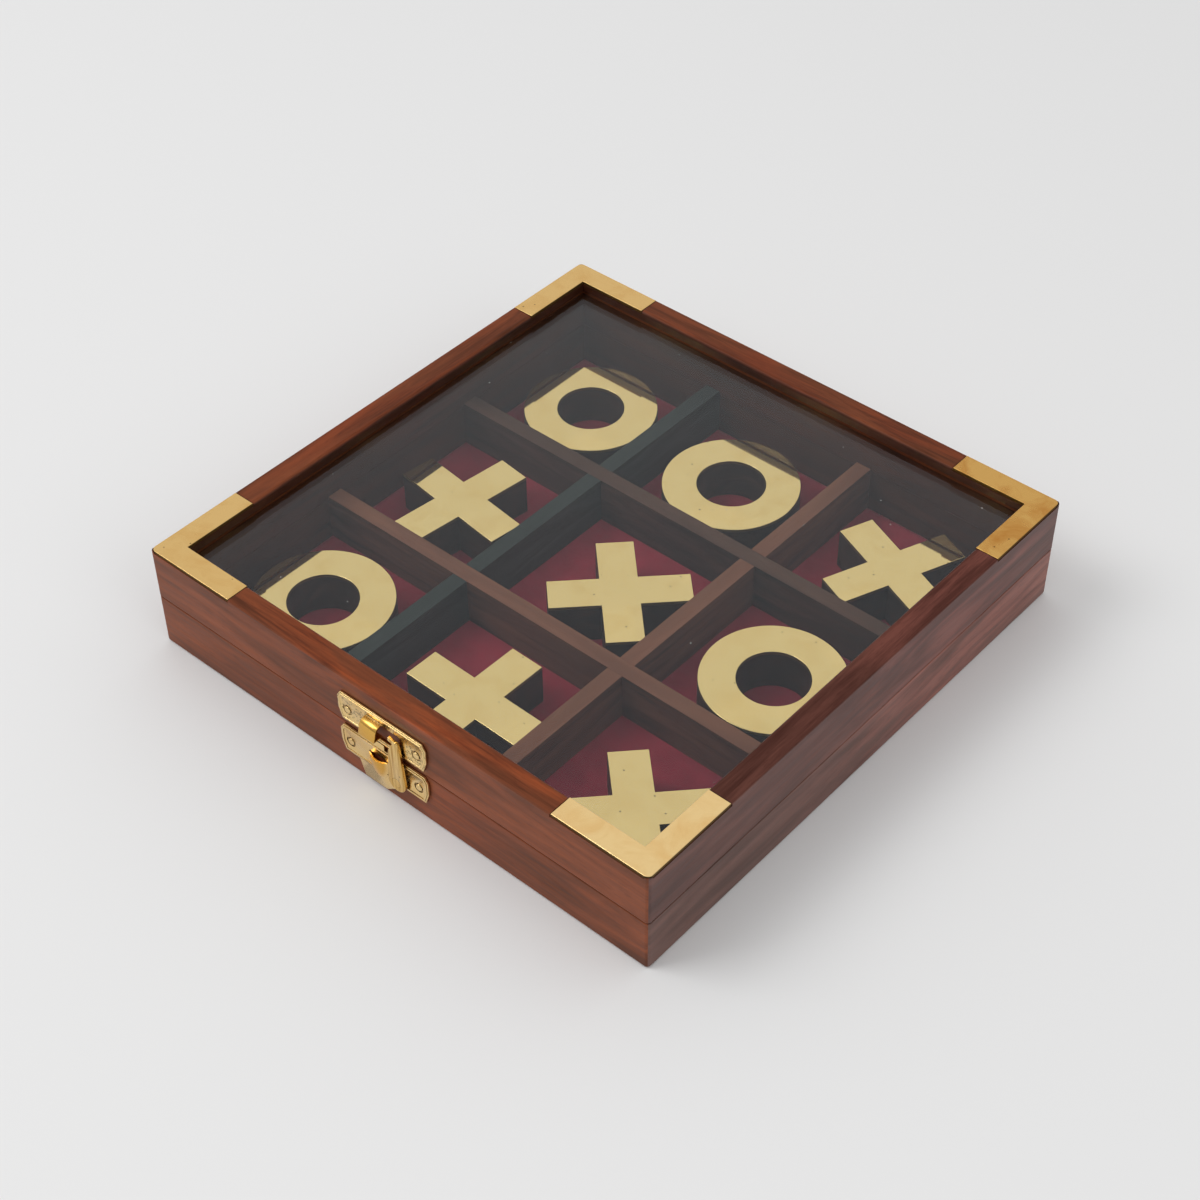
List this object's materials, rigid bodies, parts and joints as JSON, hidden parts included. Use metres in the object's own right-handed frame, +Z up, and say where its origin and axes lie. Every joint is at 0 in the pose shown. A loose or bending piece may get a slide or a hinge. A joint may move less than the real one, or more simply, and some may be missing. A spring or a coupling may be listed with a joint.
{
  "type": "tic-tac-toe box",
  "caption": "Square wooden game case with a hinged glass-topped lid, brass corner plates and a brass clasp, divided into felt-lined cells that hold brass-faced ring and cross pieces.",
  "frame": {"origin": "centre of the case's underside", "axes": "+Z up through the lid, -Y out of the front with the clasp, +X to the right seen from the front"},
  "size_m": [0.1778, 0.1853, 0.0345],
  "materials": {
    "case_wood": "oiled sheesham, satin",
    "panel_wood": "plain plywood",
    "felt": "short maroon felt",
    "divider_wood": "satin",
    "hinge_brass": "satin",
    "clasp_brass": "stamped sheet",
    "glass": "clear sheet glass",
    "plate_brass": "brushed sheet",
    "block_wood": "dark, satin",
    "face_brass": "polished"
  },
  "bodies": {
    "base": {"base_front_rail": "case_wood", "base_right_rail": "case_wood", "base_back_rail": "case_wood", "base_left_rail": "case_wood", "bottom_panel": "panel_wood", "felt_lining": "felt", "divider_left": "divider_wood", "divider_right": "divider_wood", "divider_front": "divider_wood", "divider_back": "divider_wood", "hinge_left_base_leaf": "hinge_brass", "hinge_right_base_leaf": "hinge_brass", "hinge_left_pin": "hinge_brass", "hinge_right_pin": "hinge_brass", "hinge_base_screws": "hinge_brass", "latch_plate": "clasp_brass", "latch_nails": "clasp_brass", "latch_rivet": "clasp_brass"},
    "lid": {"lid_front_rail": "case_wood", "lid_right_rail": "case_wood", "lid_back_rail": "case_wood", "lid_left_rail": "case_wood", "glass_panel": "glass", "corner_plate_front_left": "plate_brass", "corner_plate_front_right": "plate_brass", "corner_plate_back_right": "plate_brass", "corner_plate_back_left": "plate_brass", "hinge_left_lid_leaf": "hinge_brass", "hinge_right_lid_leaf": "hinge_brass", "hinge_lid_screws": "hinge_brass", "catch_plate": "clasp_brass", "catch_nails": "clasp_brass"},
    "lever": {"latch_lever": "clasp_brass"},
    "ring_back_left": {"ring_back_left_block": "block_wood", "ring_back_left_face": "face_brass"},
    "ring_back_middle": {"ring_back_middle_block": "block_wood", "ring_back_middle_face": "face_brass"},
    "cross_back_right": {"cross_back_right_block": "block_wood", "cross_back_right_face": "face_brass"},
    "cross_middle_left": {"cross_middle_left_block": "block_wood", "cross_middle_left_face": "face_brass"},
    "cross_centre": {"cross_centre_block": "block_wood", "cross_centre_face": "face_brass"},
    "ring_middle_right": {"ring_middle_right_block": "block_wood", "ring_middle_right_face": "face_brass"},
    "ring_front_left": {"ring_front_left_block": "block_wood", "ring_front_left_face": "face_brass"},
    "cross_front_middle": {"cross_front_middle_block": "block_wood", "cross_front_middle_face": "face_brass"},
    "cross_front_right": {"cross_front_right_block": "block_wood", "cross_front_right_face": "face_brass"}
  },
  "joints": [
    {"name": "lid_hinge", "type": "hinge", "parent": "base", "child": "lid", "pos_m": [0, 0.0906, 0.01727], "axis": [-1, 0, 0], "range_deg": [0, 180]},
    {"name": "lever_swing", "type": "hinge", "parent": "base", "child": "lever", "pos_m": [0.0056, -0.0907, 0.0098], "axis": [0, 1, 0], "range_deg": [-18, 85]},
    {"name": "ring_back_left_lift", "type": "slide", "parent": "base", "child": "ring_back_left", "axis": [0, 0, 1], "range_m": [0, 0.011]},
    {"name": "ring_back_middle_lift", "type": "slide", "parent": "base", "child": "ring_back_middle", "axis": [0, 0, 1], "range_m": [0, 0.011]},
    {"name": "cross_back_right_lift", "type": "slide", "parent": "base", "child": "cross_back_right", "axis": [0, 0, 1], "range_m": [0, 0.011]},
    {"name": "cross_middle_left_lift", "type": "slide", "parent": "base", "child": "cross_middle_left", "axis": [0, 0, 1], "range_m": [0, 0.011]},
    {"name": "cross_centre_lift", "type": "slide", "parent": "base", "child": "cross_centre", "axis": [0, 0, 1], "range_m": [0, 0.011]},
    {"name": "ring_middle_right_lift", "type": "slide", "parent": "base", "child": "ring_middle_right", "axis": [0, 0, 1], "range_m": [0, 0.011]},
    {"name": "ring_front_left_lift", "type": "slide", "parent": "base", "child": "ring_front_left", "axis": [0, 0, 1], "range_m": [0, 0.011]},
    {"name": "cross_front_middle_lift", "type": "slide", "parent": "base", "child": "cross_front_middle", "axis": [0, 0, 1], "range_m": [0, 0.011]},
    {"name": "cross_front_right_lift", "type": "slide", "parent": "base", "child": "cross_front_right", "axis": [0, 0, 1], "range_m": [0, 0.011]}
  ]
}
